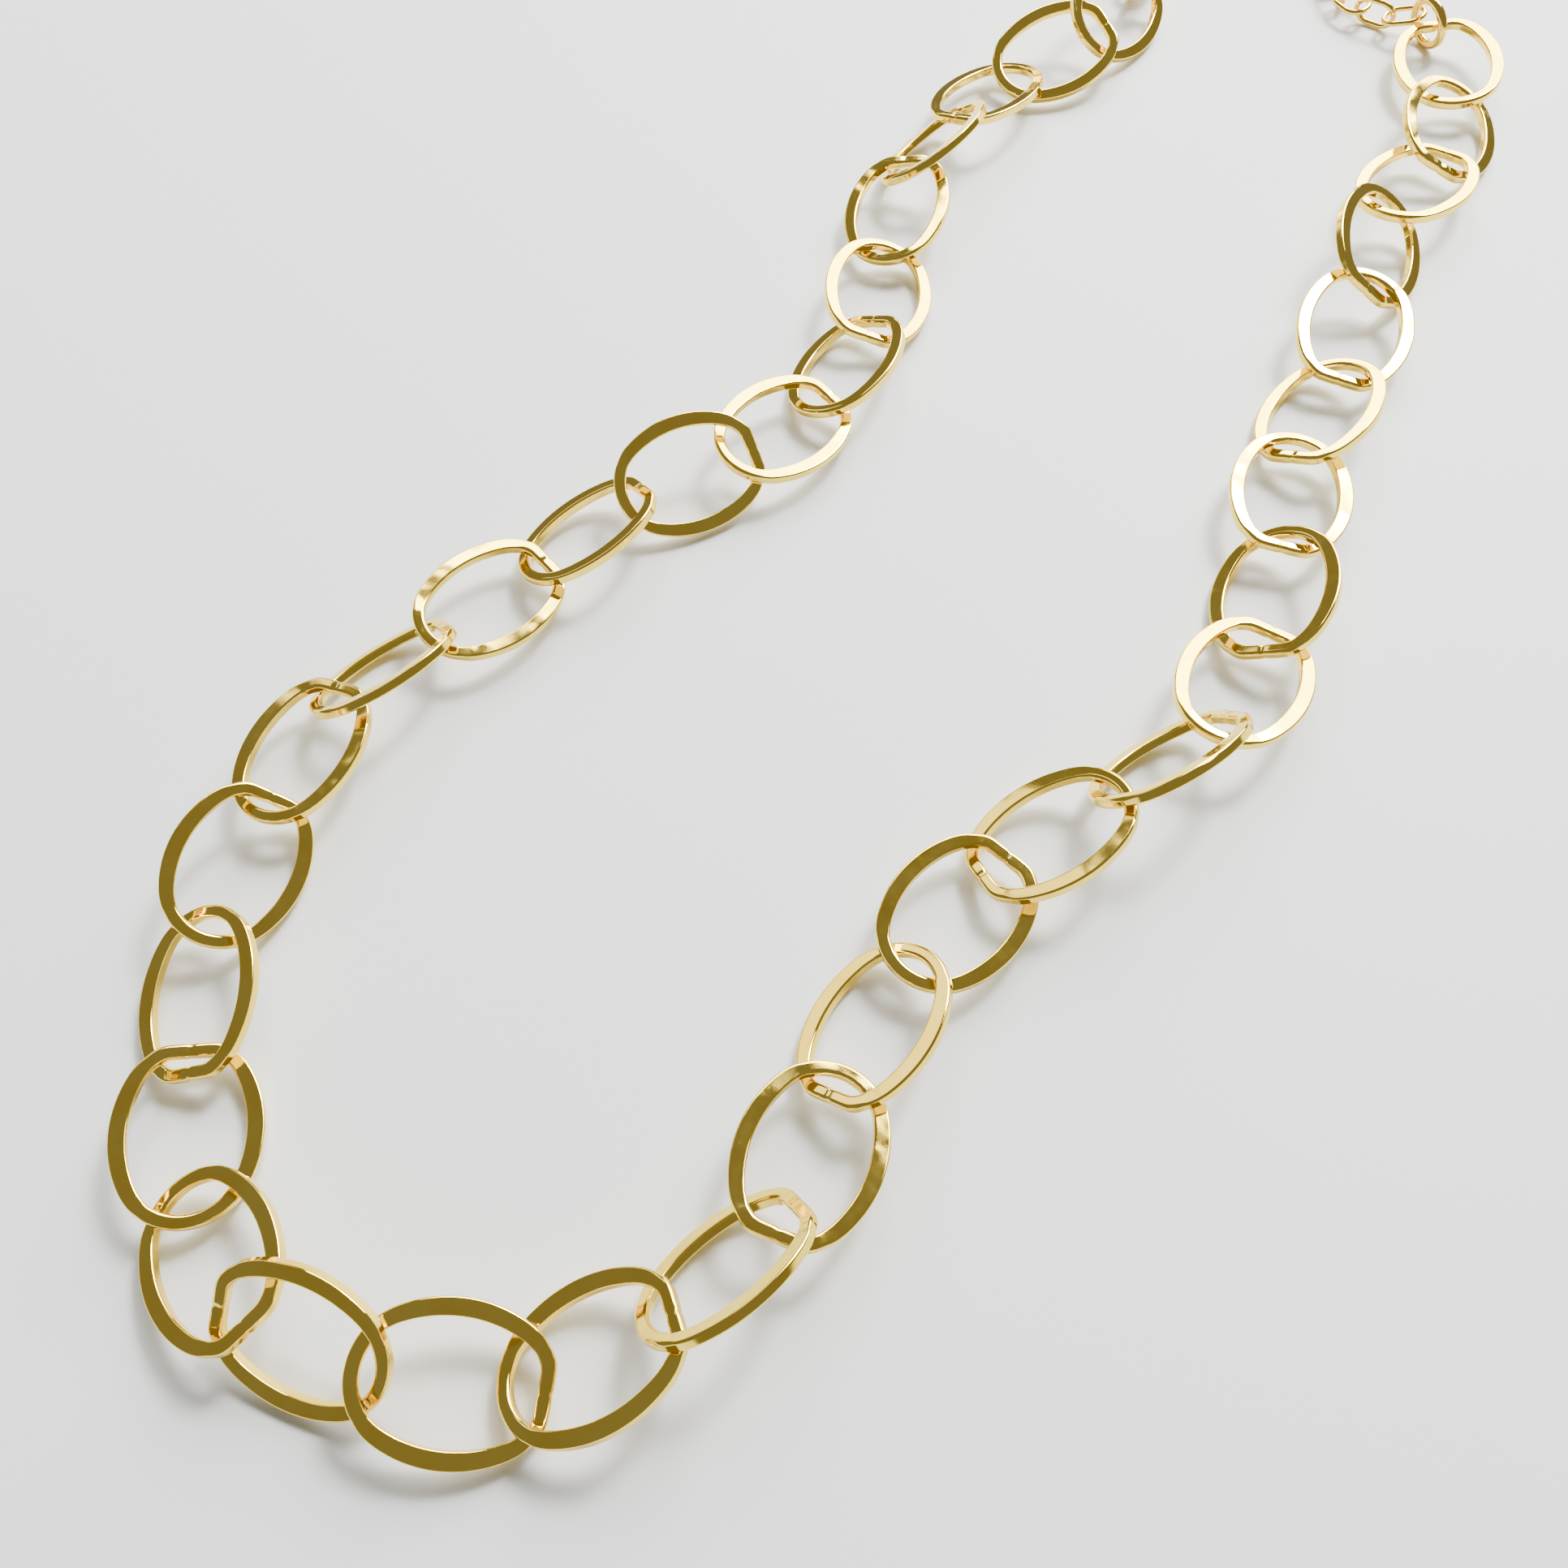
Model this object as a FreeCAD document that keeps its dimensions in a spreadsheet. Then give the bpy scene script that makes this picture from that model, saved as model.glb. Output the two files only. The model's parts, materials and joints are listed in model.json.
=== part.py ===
import FreeCAD, Part
import math
import os
import Sketcher
from FreeCAD import Placement, Rotation, Vector

# A chain necklace of large pressed oval links, laid on a table in a narrow U.
# Units are mm and degrees. +Z is up, +Y runs from the front of the U to its two ends.
# The origin is on the table, under the middle of the whole necklace.

SIZES = {
    # large links: a loop of wire pressed flat, soldered across one end;
    # end_share is the radius of the round ends as a share of the width
    "link_length": 14.8,
    "link_width": 11.3,
    "end_share": 0.4513,
    "side_wire": 1.4,
    "end_wire": 1.1,
    "wire_thick": 1.0,
    "edge_round": 0.42,
    "solder_half": 2.0,
    "corner_round": 1.0,
    # how closely neighbours nest: free play for wire 1 mm thick, and the extra for each degree of turn
    "link_play": 0.3,
    "turn_play": 0.035,
    "ring_play": 0.45,
    # plain rings of round wire at the two ends of the chain
    "clasp_ring_radius": 2.6,
    "clasp_ring_wire": 0.9,
    "tail_ring_radius": 2.4,
    "tail_ring_wire": 1.0,
    # fine extender chain
    "small_length": 5.0,
    "small_width": 3.6,
    "small_wire": 0.6,
    # drop on the end of the extender
    "drop_radius": 1.6,
    "drop_eye_radius": 0.9,
    "drop_eye_wire": 0.5,
    # lobster clasp
    "hook_radius": 2.7,
    "hook_wire": 1.5,
    "mouth_low": 0.3,
    "mouth_back": 2.16,
    "shank_radius": 2.4,
    "shank_thick": 2.8,
    "shank_offset": 1.6,
    "gate_thick": 0.9,
    "gate_clear": 0.12,
    "gate_drop": 1.6,
    "gate_hub_radius": 0.85,
    "gate_rise": 1.5,
    "gate_tip": 1.0,
    "gate_gap": 0.3,
    "neck_low": 1.1,
    "neck_width": 0.8,
    "neck_overlap": 0.68,
    "tab_reach": 3.1,
    "tab_radius": 0.55,
    "tab_back": 0.3,
    "pin_radius": 0.4,
    "pin_play": 0.03,
    "pin_head_radius": 0.6,
    "pin_head_thick": 0.2,
    "eye_radius": 1.6,
    "eye_wire": 0.9,
    "spring_wire": 0.18,
    "spring_radius": 0.62,
    "spring_pitch": 0.22,
    "spring_turns": 1.5,
    "spring_play": 0.08,
}

# Sizes worked out from the ones above.
DERIVED = {
    "outer_round": "sizes.link_width * sizes.end_share",
    "solder_sag": "outer_round - sqrt(outer_round^2 - sizes.solder_half^2)",
    "outer_centre": "sizes.link_length / 2 - outer_round",
    "outer_side": "(outer_centre^2 + sizes.link_width^2 / 4 - outer_round^2)"
                  " / (sizes.link_width - 2 * outer_round)",
    "outer_face": "sizes.link_length / 2 - solder_sag",
    "inner_round": "outer_round - sizes.side_wire",
    "inner_centre": "sizes.link_length / 2 - sizes.end_wire - inner_round",
    "inner_side": "(inner_centre^2 + (sizes.link_width / 2 - sizes.side_wire)^2 - inner_round^2)"
                  " / (sizes.link_width - 2 * sizes.side_wire - 2 * inner_round)",
    "inner_face": "outer_face - sizes.end_wire",
}

# How each piece lies, from the clasp round the front to the drop: its turn from the piece before
# it, and its roll about its own length (positive lifts the side that faces the inside of the U).
FIRST_HEADING = -45
CLASP_LAY = (0, -4)
CLASP_RING_LAY = (-25, 60)
# A large link also has the way that its soldered end points: +1 on along the chain, -1 back.
LINK_LAY = [
    (-20, -40, -1), (-30, -18, -1), (30, 12, 1), (0, 36, -1), (25, 10, -1),
    (0, -18, 1), (-15, 20, -1), (-20, -10, -1), (-20, -36, -1), (15, 20, -1),
    (5, -8, -1), (-5, 34, -1), (30, 6, -1), (5, -30, -1), (20, 18, 1),
    (5, -16, -1), (30, 12, 1), (30, 40, -1), (15, 12, 1), (30, -14, 1),
    (15, -44, 1), (30, 4, -1), (-10, -24, -1), (-10, 6, 1), (-20, -18, -1),
    (5, -48, 1), (25, 2, 1), (15, -26, -1), (0, 6, -1), (-15, -22, -1),
    (10, 8, -1), (0, 36, -1), (-20, -6, 1), (20, 24, -1), (20, -6, 1),
]
TAIL_RING_LAY = (25, 84)
SMALL_LAY = [(40, 0), (-10, 80), (-25, -5), (-20, 75), (-10, -10), (10, 70), (15, -8), (25, 75)]
DROP_LAY = (20, 0)

UP = Vector(0, 0, 1)


def make_sheets(doc):
    """Write the driving sizes, then the sizes worked out from them."""
    sizes = doc.addObject("Spreadsheet::Sheet", "sizes")
    for row, (name, value) in enumerate(SIZES.items(), 1):
        sizes.set("A%d" % row, name)
        sizes.set("B%d" % row, str(value))
        sizes.setAlias("B%d" % row, name)
    doc.recompute()
    derived = doc.addObject("Spreadsheet::Sheet", "derived")
    for row, (name, formula) in enumerate(DERIVED.items(), 1):
        derived.set("A%d" % row, name)
        derived.set("B%d" % row, "=" + formula)
        derived.setAlias("B%d" % row, name)
    doc.recompute()
    return sizes, derived


def add_sketch(body, name, role="XY_Plane"):
    """A sketch on one of the body's own origin planes."""
    sketch = body.newObject("Sketcher::SketchObject", name)
    plane = [item for item in body.Origin.OriginFeatures if item.Role == role][0]
    sketch.AttachmentSupport = [(plane, "")]
    sketch.MapMode = "FlatFace"
    return sketch


def drive(sketch, constraint, expression):
    """Add a constraint whose value follows the sheets."""
    index = sketch.addConstraint(constraint)
    sketch.setExpression("Constraints[%d]" % index, expression)


def draw_arc(sketch, centre_x, centre_y, radius, start, end):
    circle = Part.Circle(Vector(centre_x, centre_y, 0), UP, radius)
    return sketch.addGeometry(Part.ArcOfCircle(circle, start, end), False)


def draw_oval(sketch, derived, side):
    """One outline of a large link: four tangent arcs, cut straight at the soldered end."""
    centre = derived.get(side + "_centre")
    round_radius = derived.get(side + "_round")
    side_radius = derived.get(side + "_side")
    face = derived.get(side + "_face")
    drop = math.sqrt((side_radius - round_radius) ** 2 - centre ** 2)
    join = math.atan2(drop, centre)
    cut = math.acos((face - centre) / round_radius)
    cut_y = round_radius * math.sin(cut)
    front = draw_arc(sketch, centre, 0, round_radius, -join, join)
    upper = draw_arc(sketch, 0, -drop, side_radius, join, math.pi - join)
    back_upper = draw_arc(sketch, -centre, 0, round_radius, math.pi - join, math.pi - cut)
    line = Part.LineSegment(Vector(-face, cut_y, 0), Vector(-face, -cut_y, 0))
    solder = sketch.addGeometry(line, False)
    back_lower = draw_arc(sketch, -centre, 0, round_radius, math.pi + cut, math.pi + join)
    lower = draw_arc(sketch, 0, drop, side_radius, math.pi + join, 2 * math.pi - join)
    make = Sketcher.Constraint
    sketch.addConstraint([
        make("Tangent", front, 2, upper, 1), make("Tangent", upper, 2, back_upper, 1),
        make("Coincident", back_upper, 2, solder, 1), make("Coincident", solder, 2, back_lower, 1),
        make("Tangent", back_lower, 2, lower, 1), make("Tangent", lower, 2, front, 1),
        make("PointOnObject", front, 3, -1), make("PointOnObject", back_upper, 3, -1),
        make("Coincident", back_lower, 3, back_upper, 3), make("Equal", back_lower, back_upper),
        make("Vertical", solder),
    ])
    drive(sketch, make("DistanceX", -1, 1, front, 3, centre), "derived.%s_centre" % side)
    drive(sketch, make("DistanceX", back_upper, 3, -1, 1, centre), "derived.%s_centre" % side)
    drive(sketch, make("Radius", front, round_radius), "derived.%s_round" % side)
    drive(sketch, make("Radius", back_upper, round_radius), "derived.%s_round" % side)
    drive(sketch, make("Radius", upper, side_radius), "derived.%s_side" % side)
    drive(sketch, make("Radius", lower, side_radius), "derived.%s_side" % side)
    drive(sketch, make("DistanceX", solder, 1, -1, 1, face), "derived.%s_face" % side)


def is_upright(edge):
    first, last = edge.Vertexes[0], edge.Vertexes[-1]
    return math.hypot(first.X - last.X, first.Y - last.Y) < 1e-6 and len(edge.Vertexes) == 2


def add_fillet(body, base, name, size, wanted):
    """Round the edges of the base feature for which wanted(edge) is true."""
    fillet = body.newObject("PartDesign::Fillet", name)
    edges = ["Edge%d" % number for number, edge in enumerate(base.Shape.Edges, 1) if wanted(edge)]
    fillet.Base = (base, edges)
    fillet.setExpression("Radius", "sizes." + size)
    return fillet


def make_large_link(doc, derived, label):
    """A pressed link. Its round end points along +X, its soldered end along -X."""
    body = doc.addObject("PartDesign::Body", label)
    body.Label = label
    sketch = add_sketch(body, label + "_outline")
    draw_oval(sketch, derived, "outer")
    draw_oval(sketch, derived, "inner")
    pad = body.newObject("PartDesign::Pad", label + "_wire")
    pad.Profile = sketch
    pad.Midplane = True
    pad.setExpression("Length", "sizes.wire_thick")
    doc.recompute()
    faces = (-derived.outer_face, -derived.inner_face)
    at_solder = lambda edge: is_upright(edge) and min(abs(edge.Vertexes[0].X - x) for x in faces) < 1e-4
    corners = add_fillet(body, pad, label + "_corners", "corner_round", at_solder)
    doc.recompute()
    flat_edge = lambda edge: not is_upright(edge)
    add_fillet(body, corners, label + "_edges", "edge_round", flat_edge)
    return body


def make_small_link(doc, sizes, label):
    """A fine extender link: round wire bent to a long loop along X."""
    body = doc.addObject("PartDesign::Body", label)
    body.Label = label
    bend = (sizes.small_width - sizes.small_wire) / 2
    straight = (sizes.small_length - sizes.small_width) / 2
    path = add_sketch(body, label + "_path")
    front = draw_arc(path, straight, 0, bend, -math.pi / 2, math.pi / 2)
    top = path.addGeometry(Part.LineSegment(Vector(straight, bend, 0), Vector(-straight, bend, 0)), False)
    back = draw_arc(path, -straight, 0, bend, math.pi / 2, 3 * math.pi / 2)
    base = path.addGeometry(Part.LineSegment(Vector(-straight, -bend, 0), Vector(straight, -bend, 0)), False)
    make = Sketcher.Constraint
    path.addConstraint([
        make("Tangent", front, 2, top, 1), make("Tangent", top, 2, back, 1),
        make("Tangent", back, 2, base, 1), make("Tangent", base, 2, front, 1),
        make("PointOnObject", front, 3, -1), make("PointOnObject", back, 3, -1),
    ])
    half_run = "(sizes.small_length - sizes.small_width) / 2"
    drive(path, make("DistanceX", -1, 1, front, 3, straight), half_run)
    drive(path, make("DistanceX", back, 3, -1, 1, straight), half_run)
    drive(path, make("Radius", front, bend), "(sizes.small_width - sizes.small_wire) / 2")
    section = add_sketch(body, label + "_section", "YZ_Plane")
    ring = section.addGeometry(Part.Circle(Vector(bend, 0, 0), UP, sizes.small_wire / 2), False)
    section.addConstraint(make("PointOnObject", ring, 3, -1))
    drive(section, make("DistanceX", -1, 1, ring, 3, bend), "(sizes.small_width - sizes.small_wire) / 2")
    drive(section, make("Radius", ring, sizes.small_wire / 2), "sizes.small_wire / 2")
    doc.recompute()
    pipe = body.newObject("PartDesign::AdditivePipe", label + "_wire")
    pipe.Profile = section
    pipe.Spine = path
    return body


def add_solid(doc, kind, label, centre=(), **sizes):
    """A Part primitive with its sizes, and the x, y, z of its place, given as formulas."""
    solid = doc.addObject("Part::" + kind, label)
    for name, formula in sizes.items():
        solid.setExpression(name, formula)
    for axis, formula in zip("xyz", centre):
        solid.setExpression("Placement.Base." + axis, formula)
    return solid


def add_boolean(doc, kind, label, base, tool):
    result = doc.addObject("Part::" + kind, label)
    result.Base = base
    result.Tool = tool
    return result


def make_ring(doc, label, radius, wire):
    """A plain closed ring of round wire, flat in XY."""
    return add_solid(doc, "Torus", label, Radius1=radius, Radius2=wire + " / 2")


GATE_X = "-(sizes.hook_radius + sizes.shank_offset)"
EYE_X = "-(sizes.hook_radius + sizes.shank_offset + sizes.shank_radius + sizes.eye_radius)"


def make_clasp_body(doc):
    """Hook, slotted shank and tail eye in one casting. The hook's centre is at the origin."""
    hook = add_solid(doc, "Torus", "hook_ring", Radius1="sizes.hook_radius", Radius2="sizes.hook_wire / 2")
    mouth = add_solid(doc, "Box", "hook_mouth",
                      ("-sizes.mouth_back", "sizes.mouth_low", "-sizes.hook_wire"),
                      Length="sizes.mouth_back + sizes.gate_tip + sizes.gate_gap",
                      Width="2 * sizes.hook_radius", Height="2 * sizes.hook_wire")
    hook = add_boolean(doc, "Cut", "open_hook", hook, mouth)
    shank = add_solid(doc, "Cylinder", "shank_disc", (GATE_X, "0", "-sizes.shank_thick / 2"),
                      Radius="sizes.shank_radius", Height="sizes.shank_thick")
    eye = add_solid(doc, "Torus", "tail_eye", (EYE_X, "0", "0"),
                    Radius1="sizes.eye_radius", Radius2="sizes.eye_wire / 2")
    body = add_boolean(doc, "Fuse", "hook_and_shank", hook, shank)
    body = add_boolean(doc, "Fuse", "hook_shank_eye", body, eye)
    slot = add_solid(doc, "Box", "gate_slot",
                     (GATE_X + " - sizes.tab_reach - sizes.tab_radius",
                      "sizes.gate_rise - sizes.gate_hub_radius - sizes.gate_drop",
                      "-sizes.gate_thick / 2 - sizes.gate_clear"),
                     Length="2 * (sizes.tab_reach + sizes.tab_radius)", Width="2 * sizes.shank_radius",
                     Height="sizes.gate_thick + 2 * sizes.gate_clear")
    body = add_boolean(doc, "Cut", "slotted_body", body, slot)
    pocket = add_solid(doc, "Cylinder", "spring_pocket",
                       (GATE_X, "sizes.gate_rise", SPRING_LOW + " - sizes.spring_wire / 2 - sizes.spring_play"),
                       Radius="sizes.spring_radius + sizes.spring_wire / 2 + sizes.spring_play",
                       Height="sizes.shank_thick / 2")
    body = add_boolean(doc, "Cut", "pocketed_body", body, pocket)
    hole = add_solid(doc, "Cylinder", "pin_hole", (GATE_X, "sizes.gate_rise", "-sizes.shank_thick"),
                     Radius="sizes.pin_radius", Height="2 * sizes.shank_thick")
    return add_boolean(doc, "Cut", "clasp_body", body, hole)


def make_clasp_gate(doc):
    """The sprung lever that closes the hook: hub, thumb tab and a curved arm."""
    ring = add_solid(doc, "Torus", "gate_ring", Radius1="sizes.hook_radius",
                     Radius2="sizes.gate_thick / 2")
    keep = add_solid(doc, "Box", "gate_span",
                     ("-sizes.hook_radius - sizes.tab_back / 2", "sizes.neck_low", "-sizes.hook_wire"),
                     Length="sizes.hook_radius + sizes.tab_back / 2 + sizes.gate_tip",
                     Width="2 * sizes.hook_radius", Height="2 * sizes.hook_wire")
    arm = add_boolean(doc, "Common", "gate_arm", ring, keep)
    hub = add_solid(doc, "Cylinder", "gate_hub", (GATE_X, "sizes.gate_rise", "-sizes.gate_thick / 2"),
                    Radius="sizes.gate_hub_radius", Height="sizes.gate_thick")
    neck = add_solid(doc, "Box", "gate_neck", (GATE_X, "sizes.neck_low", "-sizes.gate_thick / 2"),
                     Length="sizes.shank_offset + sizes.neck_overlap", Width="sizes.neck_width",
                     Height="sizes.gate_thick")
    tab = add_solid(doc, "Cylinder", "thumb_tab",
                    (GATE_X + " - sizes.tab_back", "sizes.tab_reach", "-sizes.gate_thick / 2"),
                    Radius="sizes.tab_radius", Height="sizes.gate_thick")
    stem = add_solid(doc, "Box", "tab_stem",
                     (GATE_X + " - sizes.tab_back - sizes.tab_radius / 2", "sizes.gate_rise",
                      "-sizes.gate_thick / 2"),
                     Length="sizes.tab_radius", Width="sizes.tab_reach - sizes.gate_rise",
                     Height="sizes.gate_thick")
    gate = add_boolean(doc, "Fuse", "arm_and_hub", arm, hub)
    for number, piece in enumerate((neck, stem, tab), 1):
        gate = add_boolean(doc, "Fuse", "gate_stage_%d" % number, gate, piece)
    bore = add_solid(doc, "Cylinder", "gate_bore", (GATE_X, "sizes.gate_rise", "-sizes.gate_thick"),
                     Radius="sizes.pin_radius + sizes.pin_play", Height="2 * sizes.gate_thick")
    return add_boolean(doc, "Cut", "clasp_gate", gate, bore)


def make_clasp_pin(doc):
    """The rivet that the gate turns on, with a low head outside each cheek of the shank."""
    pin = add_solid(doc, "Cylinder", "pin_shaft", (GATE_X, "sizes.gate_rise", "-sizes.shank_thick / 2"),
                    Radius="sizes.pin_radius", Height="sizes.shank_thick")
    for name, low in (("upper", "sizes.shank_thick / 2"),
                      ("lower", "-sizes.shank_thick / 2 - sizes.pin_head_thick")):
        head = add_solid(doc, "Cylinder", "pin_head_" + name, (GATE_X, "sizes.gate_rise", low),
                         Radius="sizes.pin_head_radius", Height="sizes.pin_head_thick")
        pin = add_boolean(doc, "Fuse", "clasp_pin" if name == "lower" else "headed_pin", pin, head)
    return pin


SPRING_HEIGHT = "sizes.spring_pitch * sizes.spring_turns"
SPRING_LOW = "-sizes.gate_thick / 2 - sizes.spring_play - sizes.spring_wire / 2 - " + SPRING_HEIGHT


def make_clasp_spring(doc):
    """The coil round the rivet, in its pocket beside the gate, which swings the gate shut."""
    coil = add_solid(doc, "Helix", "spring_line", (GATE_X, "sizes.gate_rise", SPRING_LOW),
                     Radius="sizes.spring_radius", Pitch="sizes.spring_pitch", Height=SPRING_HEIGHT)
    wire = add_solid(doc, "Circle", "spring_section",
                     (GATE_X + " + sizes.spring_radius", "sizes.gate_rise", SPRING_LOW),
                     Radius="sizes.spring_wire / 2")
    wire.Placement.Rotation = Rotation(Vector(1, 0, 0), 90)
    doc.recompute()
    spring = doc.addObject("Part::Sweep", "clasp_spring")
    spring.Sections = [wire]
    spring.Spine = (coil, ["Edge1"])
    spring.Solid = True
    spring.Frenet = True
    return spring


def make_drop(doc):
    """A ball with a small eye, which weights the end of the extender."""
    ball = add_solid(doc, "Sphere", "drop_ball",
                     ("sizes.drop_radius + sizes.drop_eye_radius", "0", "0"), Radius="sizes.drop_radius")
    eye = add_solid(doc, "Torus", "drop_eye", Radius1="sizes.drop_eye_radius",
                    Radius2="sizes.drop_eye_wire / 2")
    return add_boolean(doc, "Fuse", "end_drop", ball, eye)


class Piece:
    """One piece of the chain as it lies: where its neighbours pull on it, and how it is turned.

    back and front are the distances from the piece's own origin to the inside of its two ends,
    half_width and half_thick give the height that it needs when it rolls on to one edge.
    """

    def __init__(self, solid, back, front, half_width, half_thick, heading, roll, flip=1):
        self.solid = solid
        self.back = back
        self.front = front
        self.half_width = half_width
        self.half_thick = half_thick
        self.heading = heading
        self.roll = roll
        self.flip = flip

    def height(self):
        tilt = math.radians(abs(self.roll))
        return self.half_width * math.sin(tilt) + self.half_thick * math.cos(tilt)


def link_gap(sizes, derived, first, second):
    """Free distance between the insides of two large links' ends, from their roll and turn."""
    rise = math.tan(math.radians(abs(first.roll - second.roll)) / 2) * 2
    nest = ((sizes.wire_thick - sizes.edge_round) / rise) ** 2 / derived.inner_round
    turn = abs(second.heading - first.heading)
    return sizes.link_play * sizes.wire_thick ** 2 + nest + sizes.turn_play * turn


def lay_pieces(pieces, gaps):
    """Place the pieces end to end. Returns the point of each junction, first to last."""
    heights = [piece.height() for piece in pieces]
    levels = heights[:1] + [max(pair) for pair in zip(heights, heights[1:])] + heights[-1:]
    point = Vector(0, 0, levels[0])
    points = [point]
    for number, piece in enumerate(pieces):
        back = piece.back - gaps[number] / 2
        front = piece.front - gaps[number + 1] / 2
        rise = levels[number + 1] - levels[number]
        run = math.sqrt((back + front) ** 2 - rise ** 2)
        heading = math.radians(piece.heading)
        along = Vector(run * math.cos(heading), run * math.sin(heading), rise)
        origin = point + along * (back / (back + front))
        along.normalize()
        level = UP.cross(along).normalize()
        roll = math.radians(piece.roll)
        across = level * math.cos(roll) + along.cross(level) * math.sin(roll)
        normal = along.cross(across)
        turn = Rotation(along * piece.flip, across * piece.flip, normal, "ZXY")
        piece.solid.Placement = Placement(origin, turn)
        point = point + Vector(run * math.cos(heading), run * math.sin(heading), rise)
        points.append(point)
    return points


def ring_piece(solid, radius, wire, heading, roll):
    """A plain ring: the same reach every way, and round in section."""
    inside = radius - wire / 2
    return Piece(solid, inside, inside, radius + wire / 2, 0, heading, roll)


def clasp_pieces(doc, sizes):
    """The clasp, nose first, and the ring that ties it to the first link."""
    heading = FIRST_HEADING + CLASP_LAY[0]
    eye_place = sizes.hook_radius + sizes.shank_offset + sizes.shank_radius + sizes.eye_radius
    clasp = Piece(make_clasp_body(doc), sizes.hook_radius + sizes.hook_wire / 2,
                  eye_place + sizes.eye_radius - sizes.eye_wire / 2, sizes.shank_radius,
                  sizes.shank_thick / 2 + sizes.pin_head_thick, heading, CLASP_LAY[1], -1)
    solid = make_ring(doc, "clasp_ring", "sizes.clasp_ring_radius", "sizes.clasp_ring_wire")
    return [clasp, ring_piece(solid, sizes.clasp_ring_radius, sizes.clasp_ring_wire,
                              heading + CLASP_RING_LAY[0], CLASP_RING_LAY[1])]


def link_pieces(doc, sizes, derived, heading):
    """The large links, from the left end round the front to the right end."""
    reach_round = sizes.link_length / 2 - sizes.end_wire
    reach_solder = derived.inner_face
    pieces = []
    for number, (turn, roll, solder) in enumerate(LINK_LAY, 1):
        heading += turn
        solid = make_large_link(doc, derived, "link_%02d" % number)
        back, front = (reach_round, reach_solder) if solder > 0 else (reach_solder, reach_round)
        pieces.append(Piece(solid, back, front, sizes.link_width / 2, sizes.wire_thick / 2,
                            heading, roll, -solder))
    return pieces


def tail_pieces(doc, sizes, heading):
    """The thick ring, the fine extender and its drop."""
    heading += TAIL_RING_LAY[0]
    solid = make_ring(doc, "tail_ring", "sizes.tail_ring_radius", "sizes.tail_ring_wire")
    pieces = [ring_piece(solid, sizes.tail_ring_radius, sizes.tail_ring_wire, heading, TAIL_RING_LAY[1])]
    reach = sizes.small_length / 2 - sizes.small_wire
    for number, (turn, roll) in enumerate(SMALL_LAY, 1):
        heading += turn
        solid = make_small_link(doc, sizes, "extender_link_%02d" % number)
        pieces.append(Piece(solid, reach, reach, sizes.small_width / 2, sizes.small_wire / 2,
                            heading, roll))
    heading += DROP_LAY[0]
    pieces.append(Piece(make_drop(doc), sizes.drop_eye_radius - sizes.drop_eye_wire / 2,
                        2 * sizes.drop_radius + sizes.drop_eye_radius,
                        sizes.drop_radius, sizes.drop_radius, heading, DROP_LAY[1]))
    return pieces


def build_necklace(doc, sizes, derived):
    """Every piece in order, laid end to end. Returns the pieces and their junctions."""
    clasp = clasp_pieces(doc, sizes)
    links = link_pieces(doc, sizes, derived, clasp[-1].heading)
    tail = tail_pieces(doc, sizes, links[-1].heading)
    link_gaps = [link_gap(sizes, derived, *pair) for pair in zip(links, links[1:])]
    gaps = [0] + [sizes.ring_play] * len(clasp) + link_gaps + [sizes.ring_play] * len(tail) + [0]
    pieces = clasp + links + tail
    points = lay_pieces(pieces, gaps)
    for part in (make_clasp_gate(doc), make_clasp_pin(doc), make_clasp_spring(doc)):
        part.Placement = clasp[0].solid.Placement * part.Placement
    return pieces, points


def sub_parts(doc):
    """Every finished piece: the bodies, and each boolean or primitive that nothing else uses."""
    bodies = [item for item in doc.Objects if item.TypeId == "PartDesign::Body"]
    plain = [item for item in doc.Objects if item.TypeId.startswith("Part::") and not item.InList]
    return bodies + plain


def check(doc):
    """Stop if any object failed to build or any piece is not one valid solid."""
    for item in doc.Objects:
        if "Invalid" in item.State or "Error" in item.State:
            raise RuntimeError("%s failed: %s" % (item.Name, item.State))
    for item in sub_parts(doc):
        shape = item.Shape
        if shape.isNull() or not shape.isValid() or len(shape.Solids) != 1:
            raise RuntimeError("%s is not one valid solid" % item.Label)


def centre_on_table(doc):
    """Move every piece so that the table is at z = 0 and the origin under the middle."""
    whole = FreeCAD.BoundBox()
    for item in sub_parts(doc):
        whole.add(item.Shape.optimalBoundingBox(False, False))
    shift = Vector(-whole.Center.x, -whole.Center.y, -whole.ZMin)
    for item in sub_parts(doc):
        item.Placement = Placement(item.Placement.Base + shift, item.Placement.Rotation)
    doc.recompute()
    return shift


def main():
    doc = FreeCAD.newDocument("necklace")
    sizes, derived = make_sheets(doc)
    pieces, points = build_necklace(doc, sizes, derived)
    doc.recompute()
    check(doc)
    shift = centre_on_table(doc)
    os.makedirs("parts", exist_ok=True)
    for item in sub_parts(doc):
        item.Shape.exportStep("parts/%s.step" % item.Label)
    print("%d pieces" % len(sub_parts(doc)))
    return doc, pieces, [point + shift for point in points]


document, laid_pieces, junctions = main()
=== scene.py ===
import json
import math

import bpy
import numpy as np
from mathutils import Matrix, Vector


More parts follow.
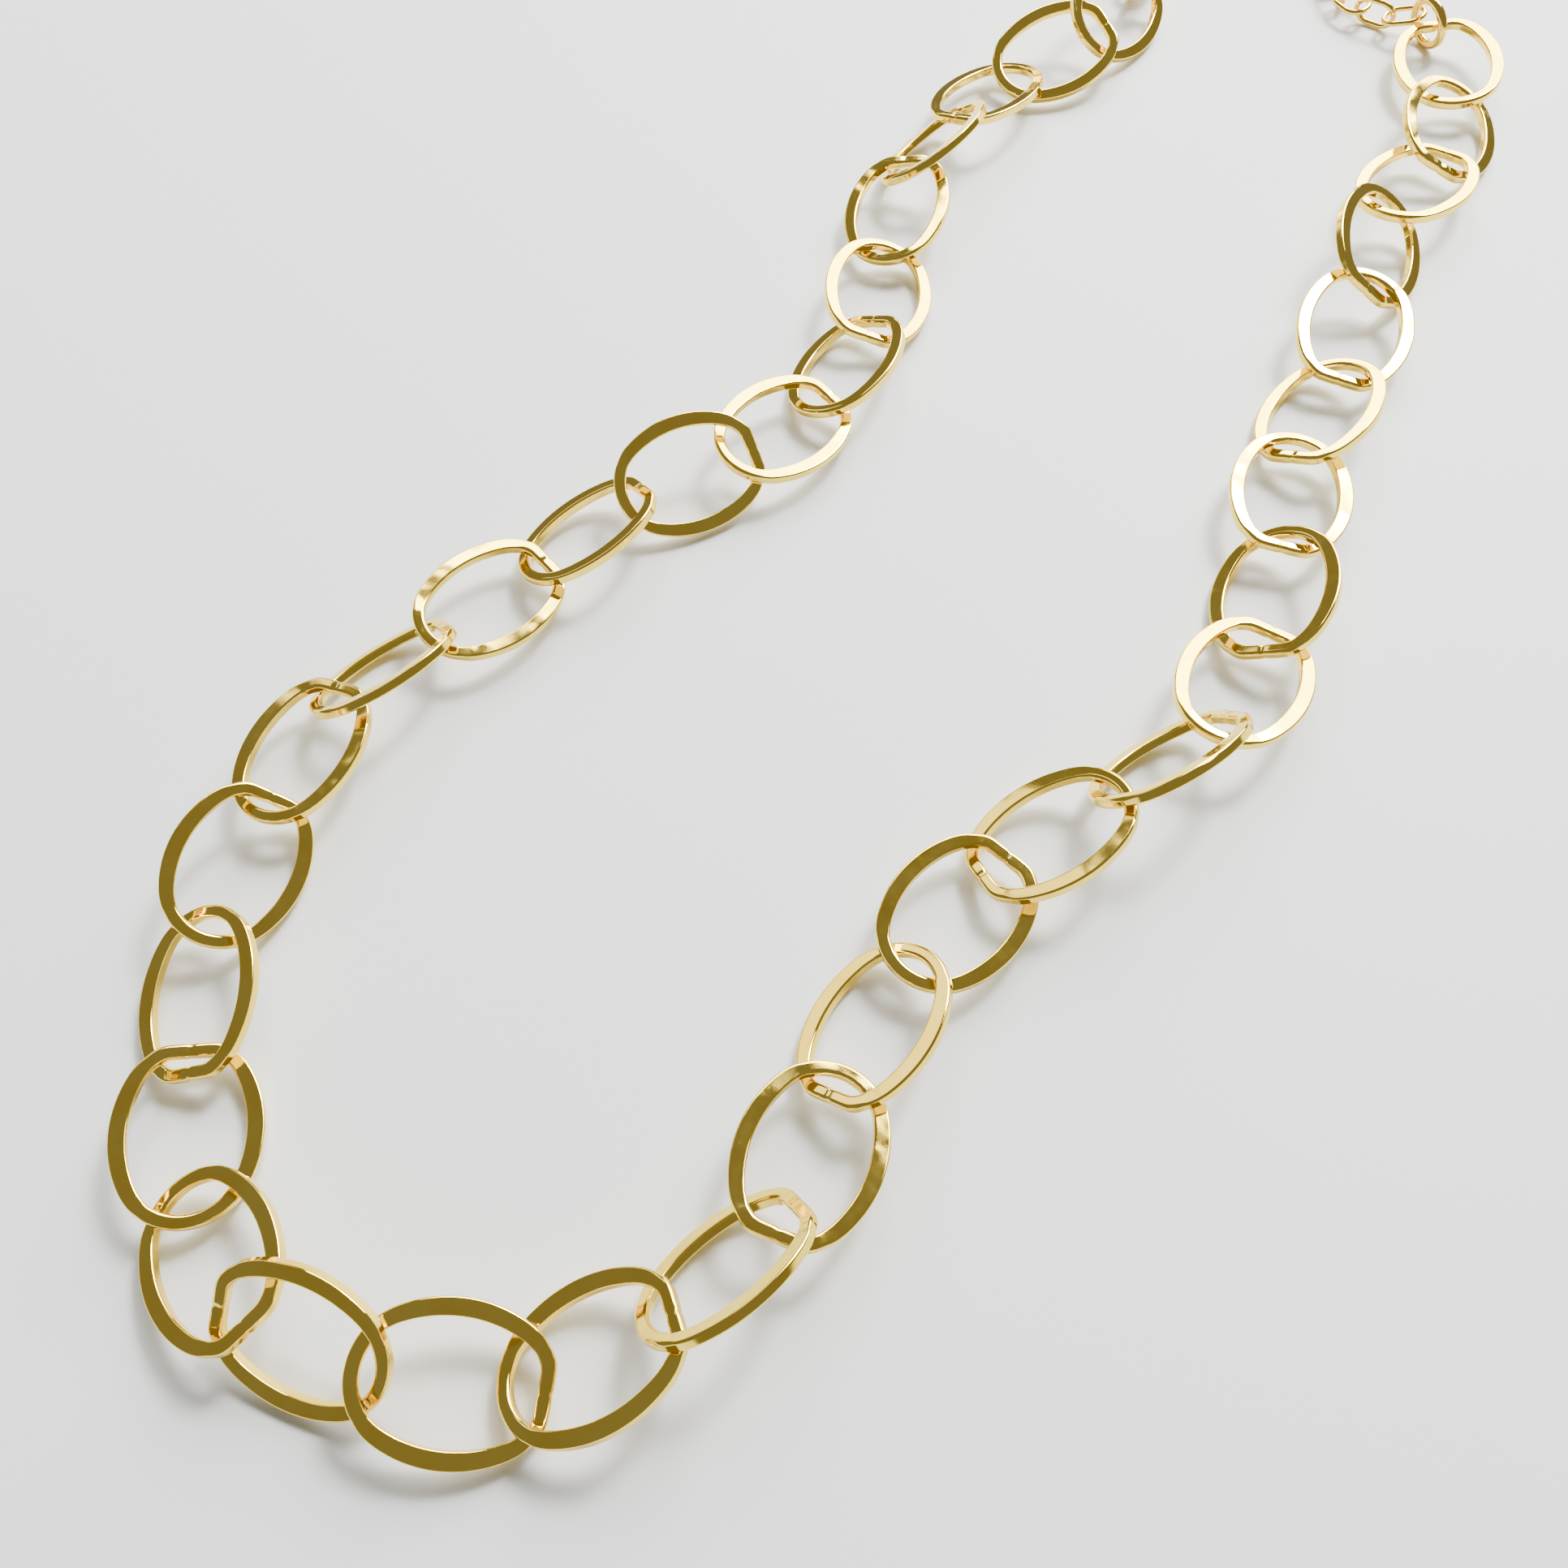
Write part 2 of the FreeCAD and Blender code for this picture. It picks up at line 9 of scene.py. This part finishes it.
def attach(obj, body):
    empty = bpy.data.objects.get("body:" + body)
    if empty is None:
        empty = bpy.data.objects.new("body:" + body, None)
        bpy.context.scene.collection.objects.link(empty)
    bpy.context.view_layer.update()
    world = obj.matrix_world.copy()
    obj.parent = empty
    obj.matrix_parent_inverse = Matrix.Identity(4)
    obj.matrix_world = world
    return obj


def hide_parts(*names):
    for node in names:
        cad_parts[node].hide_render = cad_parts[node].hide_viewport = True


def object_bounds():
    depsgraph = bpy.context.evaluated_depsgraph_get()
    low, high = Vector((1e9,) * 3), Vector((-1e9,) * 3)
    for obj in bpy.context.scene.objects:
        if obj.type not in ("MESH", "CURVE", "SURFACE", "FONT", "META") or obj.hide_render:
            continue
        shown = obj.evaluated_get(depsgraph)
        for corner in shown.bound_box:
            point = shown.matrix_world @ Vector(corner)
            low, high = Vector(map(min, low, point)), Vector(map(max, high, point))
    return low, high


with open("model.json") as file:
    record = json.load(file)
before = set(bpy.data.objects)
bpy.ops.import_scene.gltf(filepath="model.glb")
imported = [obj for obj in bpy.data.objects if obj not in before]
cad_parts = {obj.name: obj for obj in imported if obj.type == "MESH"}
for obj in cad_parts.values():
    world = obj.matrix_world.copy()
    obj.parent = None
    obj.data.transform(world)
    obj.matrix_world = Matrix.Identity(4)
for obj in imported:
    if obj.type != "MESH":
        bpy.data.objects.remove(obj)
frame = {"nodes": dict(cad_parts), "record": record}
start_bounds = [list(corner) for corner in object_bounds()]

# A gold chain necklace lying in a narrow U on a pale table, seen from above one side.
# Metres, except where a comment says mm. Each piece rides on the CAD body that it stands for.

MM = 0.001
SEED = 18

# Large link, as in the CAD part (mm): near-round oval, cut straight at its soldered end.
LINK_LENGTH = 14.8
LINK_WIDTH = 11.3
END_SHARE = 0.4513
END_ROUND = END_SHARE * LINK_WIDTH
SIDE_WIRE = 1.4
END_WIRE = 1.1
WIRE_THICK = 1.0
SOLDER_HALF = 2.0

# What pressing does to the wire (mm): flat sides with crisp edges, and rounder ends.
FLAT_THICK = 0.90
FLAT_CORNER = 0.17
FLAT_INSET = 0.03
ROUND_CORNER = 0.3
NOTCH_DEPTH = 0.07
SEAM_DEPTH = 0.05

# Where on a link that happens (radians, as seen from its middle, measured from its ends).
PRESS_ANGLE = math.radians(27)
PRESS_FADE = math.radians(6)
NOTCH_SPREAD = 0.6
SEAM_SPREAD = 0.03

# How finely a link is drawn (mm): how softly its straight end meets the oval, and how far
# inside each end of a flat an extra point keeps that flat from looking bent.
RING_STEPS = 216
CORNER_STEPS = 5
FACE_SOFTNESS = 0.09
FACE_FROM = -0.05
FLAT_EDGE = 0.02
CORNER_LIMIT = 0.97

# A slice this deep at each end of a CAD link tells its wide soldered end from its round one.
END_SLICE = 0.00008

# Slight unevenness of each link, as the range of each random draw, in the order of drawing.
WOBBLE = {
    "ends": (-0.12, 0.12),
    "phase": (0, 2 * math.pi),
    "thin": (0.0, 0.05),
    "twist": (math.radians(-3), math.radians(3)),
    "bend": (-0.02, 0.02),
}

# Gold finishes: colour, deeper colour, lowest and highest roughness, strength of waves and rubs.
GOLDS = {
    "polished_gold": ((1.0, 0.75, 0.13), (0.97, 0.67, 0.08), 0.03, 0.11, 0.6, 0.3),
    "gold_wire": ((1.0, 0.71, 0.13), (0.95, 0.62, 0.09), 0.08, 0.20, 0.3, 0.3),
    "clasp_gold": ((1.0, 0.71, 0.13), (0.95, 0.63, 0.09), 0.10, 0.22, 0.4, 0.35),
}
DRIFT_SCALE = 260.0
HAZE_SCALE = 900.0
WAVE_SCALE = 330.0
WAVE_HEIGHT = 0.00013
RUB_SCALE = 2600.0
RUB_STRETCH = 7.0
RUB_HEIGHT = 0.000004

# CAD nodes that are shown as they are; the rings, the extender and the drop are gold wire.
CAD_FINISH = {
    "clasp_spring": "spring_steel",
    "clasp_body": "clasp_gold",
    "clasp_gate": "clasp_gold",
    "clasp_pin": "clasp_gold",
}

# The floor is just under the chain, so that the two don't share a plane.
FLOOR_SIZE = 3.0
TABLE_DROP = 0.00002

# The camera looks at a spot on the table; azimuth 0 looks along +Y and 90 along -X.
CAMERA_ANGLES = (43.5, 60.6, 8.0)
CAMERA_TARGET = (0.0039, -0.0347, 0.0)
CAMERA_DISTANCE = 0.1234
CAMERA_LENS = 33.0
SENSOR_WIDTH = 36.0
NEAREST_SEEN = 0.002

# Area lights round the middle of the table: azimuth, elevation, size, power and colour.
LIGHTS = {
    "window": (104, 38, (1.05, 0.80), 36.0, (1.0, 0.985, 0.95)),
    "key": (88, 48, (0.22, 0.22), 13.0, (1.0, 1.0, 1.0)),
    "side_fill": (165, 32, (0.30, 0.35), 0.8, (1.0, 0.95, 0.86)),
}
LIGHT_DISTANCE = 1.0
ROOM_COLOUR = (0.96, 0.92, 0.87, 1)
ROOM_STRENGTH = 0.24

rng = np.random.default_rng(SEED)
node_body = {node: body for body, nodes in frame["record"]["behaviour"]["bodies"].items()
             for node in nodes}


def make_material(name):
    material = bpy.data.materials.new(name)
    material.use_nodes = True
    tree = material.node_tree
    return material, tree.nodes, tree.links, tree.nodes["Principled BSDF"]


def add_noise(nodes, links, coords, scale, detail=3.0, rough=0.5, distort=0.0):
    noise = nodes.new("ShaderNodeTexNoise")
    noise.inputs["Scale"].default_value = scale
    noise.inputs["Detail"].default_value = detail
    noise.inputs["Roughness"].default_value = rough
    noise.inputs["Distortion"].default_value = distort
    links.new(coords, noise.inputs["Vector"])
    return noise.outputs["Fac"]


def add_range(nodes, links, value, low, high, to_low, to_high):
    remap = nodes.new("ShaderNodeMapRange")
    remap.inputs["From Min"].default_value = low
    remap.inputs["From Max"].default_value = high
    remap.inputs["To Min"].default_value = to_low
    remap.inputs["To Max"].default_value = to_high
    links.new(value, remap.inputs["Value"])
    return remap.outputs["Result"]


def add_mix(nodes, links, factor, first, second):
    mix = nodes.new("ShaderNodeMix")
    mix.data_type = "RGBA"
    mix.inputs["A"].default_value = (*first, 1)
    mix.inputs["B"].default_value = (*second, 1)
    links.new(factor, mix.inputs["Factor"])
    return mix.outputs["Result"]


def add_bump(nodes, links, height, strength, distance):
    bump = nodes.new("ShaderNodeBump")
    bump.inputs["Strength"].default_value = strength
    bump.inputs["Distance"].default_value = distance
    links.new(height, bump.inputs["Height"])
    return bump


def gold_material(name, base, deep, rough_low, rough_high, wave, rub):
    """Polished plate: slight colour drift, hazy patches, soft waves and fine rubbing marks."""
    material, nodes, links, shader = make_material(name)
    coords = nodes.new("ShaderNodeTexCoord").outputs["Object"]
    shader.inputs["Metallic"].default_value = 1.0
    drift = add_noise(nodes, links, coords, DRIFT_SCALE, 2.0)
    drift = add_range(nodes, links, drift, 0.35, 0.75, 0.0, 1.0)
    links.new(add_mix(nodes, links, drift, base, deep), shader.inputs["Base Color"])
    haze = add_noise(nodes, links, coords, HAZE_SCALE, 5.0, 0.65)
    links.new(add_range(nodes, links, haze, 0.35, 0.8, rough_low, rough_high),
              shader.inputs["Roughness"])
    waves = add_noise(nodes, links, coords, WAVE_SCALE, 1.0, 0.4, 0.3)
    stretch = nodes.new("ShaderNodeMapping")
    stretch.inputs["Scale"].default_value = (1.0, RUB_STRETCH, RUB_STRETCH)
    links.new(coords, stretch.inputs["Vector"])
    rubs = add_noise(nodes, links, stretch.outputs["Vector"], RUB_SCALE, 4.0, 0.7)
    soft = add_bump(nodes, links, waves, wave, WAVE_HEIGHT)
    fine = add_bump(nodes, links, rubs, rub, RUB_HEIGHT)
    links.new(soft.outputs["Normal"], fine.inputs["Normal"])
    links.new(fine.outputs["Normal"], shader.inputs["Normal"])
    return material


def steel_material(name):
    """Dull spring wire, slightly uneven in gloss."""
    material, nodes, links, shader = make_material(name)
    coords = nodes.new("ShaderNodeTexCoord").outputs["Object"]
    shader.inputs["Metallic"].default_value = 1.0
    shader.inputs["Base Color"].default_value = (0.62, 0.60, 0.56, 1)
    marks = add_noise(nodes, links, coords, 3000.0, 3.0)
    links.new(add_range(nodes, links, marks, 0.3, 0.7, 0.18, 0.34), shader.inputs["Roughness"])
    return material


def oval_radius(angle, centre, round_radius, half_width, face):
    """Distance from the middle of a link to one outline, in the direction of angle (mm)."""
    side = (centre ** 2 + half_width ** 2 - round_radius ** 2) / (2 * (half_width - round_radius))
    drop = side - half_width
    c, s = math.cos(angle), abs(math.sin(angle))
    along = abs(c)
    reach_end = along * centre + math.sqrt(round_radius ** 2 - (centre * s) ** 2)
    reach_side = -s * drop + math.sqrt(side ** 2 - (along * drop) ** 2)
    join = math.atan2(drop, centre)
    end_slope = math.atan2(reach_end * s, reach_end * along - centre)
    reach = reach_end if end_slope < join else reach_side
    if c < FACE_FROM:
        flat = face / along
        near = math.exp(-reach / FACE_SOFTNESS) + math.exp(-flat / FACE_SOFTNESS)
        reach = -FACE_SOFTNESS * math.log(near)
    return reach


def link_outline():
    """Wire round a link (mm): angles, middle line, outward directions and half widths."""
    sag = END_ROUND - math.sqrt(END_ROUND ** 2 - SOLDER_HALF ** 2)
    outer_face = LINK_LENGTH / 2 - sag
    outer = (LINK_LENGTH / 2 - END_ROUND, END_ROUND, LINK_WIDTH / 2, outer_face)
    inner_round = END_ROUND - SIDE_WIRE
    inner = (LINK_LENGTH / 2 - END_WIRE - inner_round, inner_round, LINK_WIDTH / 2 - SIDE_WIRE,
             outer_face - END_WIRE)
    angles = np.linspace(0, 2 * math.pi, RING_STEPS, endpoint=False)
    far = np.array([oval_radius(a, *outer) for a in angles])
    near = np.array([oval_radius(a, *inner) for a in angles])
    ray = np.stack([np.cos(angles), np.sin(angles)], 1)
    middle = ray * ((far + near) / 2)[:, None]
    tangent = np.roll(middle, -1, 0) - np.roll(middle, 1, 0)
    tangent /= np.linalg.norm(tangent, axis=1)[:, None]
    outward = np.stack([tangent[:, 1], -tangent[:, 0]], 1)
    half_width = (far - near) / 2 * np.abs((ray * outward).sum(1))
    return angles, middle, outward, half_width


def link_rings(wobble):
    """Sections round one link: centre, outward, half width, half thickness, corner, twist, shift."""
    angles, middle, outward, half_width = link_outline()
    from_round_end = np.abs(np.angle(np.exp(1j * angles)))
    from_solder = np.abs(np.angle(np.exp(1j * (angles - math.pi))))
    from_end = np.minimum(from_round_end, from_solder)
    rings = []
    for k, angle in enumerate(angles):
        limit = PRESS_ANGLE * (1 + wobble["ends"] * math.sin(angle + wobble["phase"]))
        press = 1 / (1 + math.exp(-(from_end[k] - limit) / (PRESS_FADE / 3)))
        notch = math.exp(-((from_end[k] - limit) / (PRESS_FADE * NOTCH_SPREAD)) ** 2)
        seam = math.exp(-((angle - math.pi) / SEAM_SPREAD) ** 2)
        width = half_width[k] * (1 - NOTCH_DEPTH * notch) - FLAT_INSET * press - SEAM_DEPTH * seam
        thick = (WIRE_THICK + (FLAT_THICK - WIRE_THICK) * press) / 2 - SEAM_DEPTH * seam
        thick *= 1 - wobble["thin"] * (1 + math.sin(2 * angle + wobble["phase"])) / 2
        corner = ROUND_CORNER + (FLAT_CORNER - ROUND_CORNER) * press
        corner = min(corner, thick * CORNER_LIMIT, width * CORNER_LIMIT)
        twist = wobble["twist"] * math.sin(angle + 2 * wobble["phase"]) * press
        shift = wobble["bend"] * math.sin(2 * angle + wobble["phase"])
        rings.append((middle[k], outward[k], width, thick, corner, twist, shift))
    return rings


def section_points(width, thick, corner):
    """A rounded rectangle, with a point just inside each end of its flats to keep them flat."""
    points = []
    corners = ((1, 1), (-1, 1), (-1, -1), (1, -1))
    flat_ways = ((-1, 0), (0, -1), (1, 0), (0, 1))
    for quarter, ((sx, sy), (dx, dy)) in enumerate(zip(corners, flat_ways)):
        cx, cy = sx * (width - corner), sy * (thick - corner)
        for step in range(CORNER_STEPS + 1):
            a = (quarter + step / CORNER_STEPS) * math.pi / 2
            points.append((cx + corner * math.cos(a), cy + corner * math.sin(a)))
        x, y = points[-1]
        flat = width - corner if dx else thick - corner
        inset = min(FLAT_EDGE, flat * 0.4)
        far_x, far_y = (-x, y) if dx else (x, -y)
        points.append((x + dx * inset, y + dy * inset))
        points.append((far_x - dx * inset, far_y - dy * inset))
    return points


def link_mesh(name, wobble):
    """The whole surface of one pressed link, in its own frame, in metres."""
    rows = []
    for centre, outward, width, thick, corner, twist, shift in link_rings(wobble):
        c, s = math.cos(twist), math.sin(twist)
        row = []
        for u, v in section_points(width, thick, corner):
            across, up = u * c - v * s, u * s + v * c
            row.append(((centre[0] + outward[0] * across) * MM,
                        (centre[1] + outward[1] * across) * MM, (up + shift) * MM))
        rows.append(row)
    count, around = len(rows), len(rows[0])
    points = [point for row in rows for point in row]
    faces = [(r * around + k, ((r + 1) % count) * around + k,
              ((r + 1) % count) * around + (k + 1) % around, r * around + (k + 1) % around)
             for r in range(count) for k in range(around)]
    mesh = bpy.data.meshes.new(name)
    mesh.from_pydata(points, [], faces)
    mesh.polygons.foreach_set("use_smooth", [True] * len(faces))
    mesh.update()
    return mesh


def surface_axes(mesh):
    """Points of a mesh, and the middle and main axes of its surface, shortest axis first."""
    mesh.calc_loop_triangles()
    points = np.array([v.co for v in mesh.vertices])
    tris = points[np.array([t.vertices for t in mesh.loop_triangles])]
    area = np.linalg.norm(np.cross(tris[:, 1] - tris[:, 0], tris[:, 2] - tris[:, 0]), axis=1)
    middle = tris.mean(1)
    centre = (middle * area[:, None]).sum(0) / area.sum()
    spread = ((middle - centre) * area[:, None]).T @ (middle - centre)
    return points, centre, np.linalg.eigh(spread)[1]


def link_frame(node):
    """Where a CAD link lies: the matrix of its own frame, +X to its round end."""
    points, centre, axes = surface_axes(frame["nodes"][node].data)
    normal, across, along = axes[:, 0], axes[:, 1], axes[:, 2]
    if normal[2] < 0:
        normal = -normal
    reach = (points - centre) @ along
    side = (points - centre) @ across
    front = np.ptp(side[reach > reach.max() - END_SLICE])
    back = np.ptp(side[reach < reach.min() + END_SLICE])
    if front > back:
        along = -along
        reach = -reach
    across = np.cross(normal, along)
    side = (points - centre) @ across
    lift = (points - centre) @ normal
    origin = (centre + along * (reach.max() - LINK_LENGTH * MM / 2)
              + across * (side.max() + side.min()) / 2 + normal * (lift.max() + lift.min()) / 2)
    matrix = np.eye(4)
    matrix[:3, 0], matrix[:3, 1], matrix[:3, 2], matrix[:3, 3] = along, across, normal, origin
    return Matrix(matrix.tolist())


def keep_inside(mesh, box):
    """Press back what stands proud of the CAD model's box, a few hundredths of a mm at most."""
    low, high = np.array(box[0]), np.array(box[1])
    for vertex in mesh.vertices:
        vertex.co = np.clip(np.array(vertex.co), low, high)
    mesh.update()


def place_link(node, material):
    """Draw one pressed link in the place of its CAD node."""
    wobble = {key: rng.uniform(low, high) for key, (low, high) in WOBBLE.items()}
    name = "pressed_" + node
    mesh = link_mesh(name, wobble)
    mesh.transform(link_frame(node))
    keep_inside(mesh, start_bounds)
    mesh.materials.append(material)
    piece = bpy.data.objects.new(name, mesh)
    bpy.context.scene.collection.objects.link(piece)
    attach(piece, node_body[node])
    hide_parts(node)


def finish_cad(node, material):
    """Show a CAD node as it is, smooth, in its own finish."""
    piece = frame["nodes"][node]
    piece.data.materials.clear()
    piece.data.materials.append(material)
    piece.data.polygons.foreach_set("use_smooth", [True] * len(piece.data.polygons))


def necklace():
    """Every large link, then the rings, the clasp, the extender and the drop."""
    materials = {name: gold_material(name, *finish) for name, finish in GOLDS.items()}
    materials["spring_steel"] = steel_material("spring_steel")
    large = sorted(node for node in frame["nodes"] if node.startswith("link_"))
    for node in large:
        place_link(node, materials["polished_gold"])
    for node in sorted(set(frame["nodes"]) - set(large)):
        slot = CAD_FINISH.get(node, "gold_wire")
        finish_cad(node, materials[slot])


def pale_floor():
    material, nodes, links, shader = make_material("pale_card")
    coords = nodes.new("ShaderNodeTexCoord").outputs["Object"]
    tone = add_noise(nodes, links, coords, 9.0, 4.0)
    colour = add_mix(nodes, links, tone, (0.82, 0.85, 0.865), (0.79, 0.82, 0.835))
    links.new(colour, shader.inputs["Base Color"])
    shader.inputs["Roughness"].default_value = 0.6
    bpy.ops.mesh.primitive_plane_add(size=FLOOR_SIZE, location=(0, 0, -TABLE_DROP))
    floor = bpy.context.object
    floor.name = "floor"
    floor.data.materials.append(material)


def main_camera():
    """Close above the right-hand side, looking down and towards the left."""
    azimuth, elevation, roll = (math.radians(angle) for angle in CAMERA_ANGLES)
    turn = (Matrix.Rotation(azimuth, 4, "Z") @ Matrix.Rotation(math.pi / 2 - elevation, 4, "X")
            @ Matrix.Rotation(-roll, 4, "Z"))
    away = turn.to_3x3() @ Vector((0, 0, CAMERA_DISTANCE))
    data = bpy.data.cameras.new("camera")
    camera = bpy.data.objects.new("camera", data)
    bpy.context.scene.collection.objects.link(camera)
    data.sensor_width = SENSOR_WIDTH
    data.lens = CAMERA_LENS
    data.clip_start = NEAREST_SEEN
    camera.matrix_world = Matrix.Translation(Vector(CAMERA_TARGET) + away) @ turn
    bpy.context.scene.camera = camera


def area_light(name, azimuth, elevation, size, power, colour):
    """A soft light aimed at the middle of the table; azimuth turns from +X towards +Y."""
    a, e = math.radians(azimuth), math.radians(elevation)
    way = Vector((math.cos(a) * math.cos(e), math.sin(a) * math.cos(e), math.sin(e)))
    data = bpy.data.lights.new(name, "AREA")
    data.shape = "RECTANGLE"
    data.size, data.size_y = size
    data.energy = power
    data.color = colour
    light = bpy.data.objects.new(name, data)
    bpy.context.scene.collection.objects.link(light)
    light.visible_camera = False
    light.location = way * LIGHT_DISTANCE
    light.rotation_euler = (-way).to_track_quat("-Z", "Y").to_euler()


def studio():
    """A large soft window light behind the chain's ends, two smaller lights and a dim room."""
    world = bpy.data.worlds.new("studio")
    bpy.context.scene.world = world
    world.use_nodes = True
    background = world.node_tree.nodes["Background"]
    background.inputs["Color"].default_value = ROOM_COLOUR
    background.inputs["Strength"].default_value = ROOM_STRENGTH
    for name, light in LIGHTS.items():
        area_light(name, *light)


necklace()
pale_floor()
main_camera()
studio()
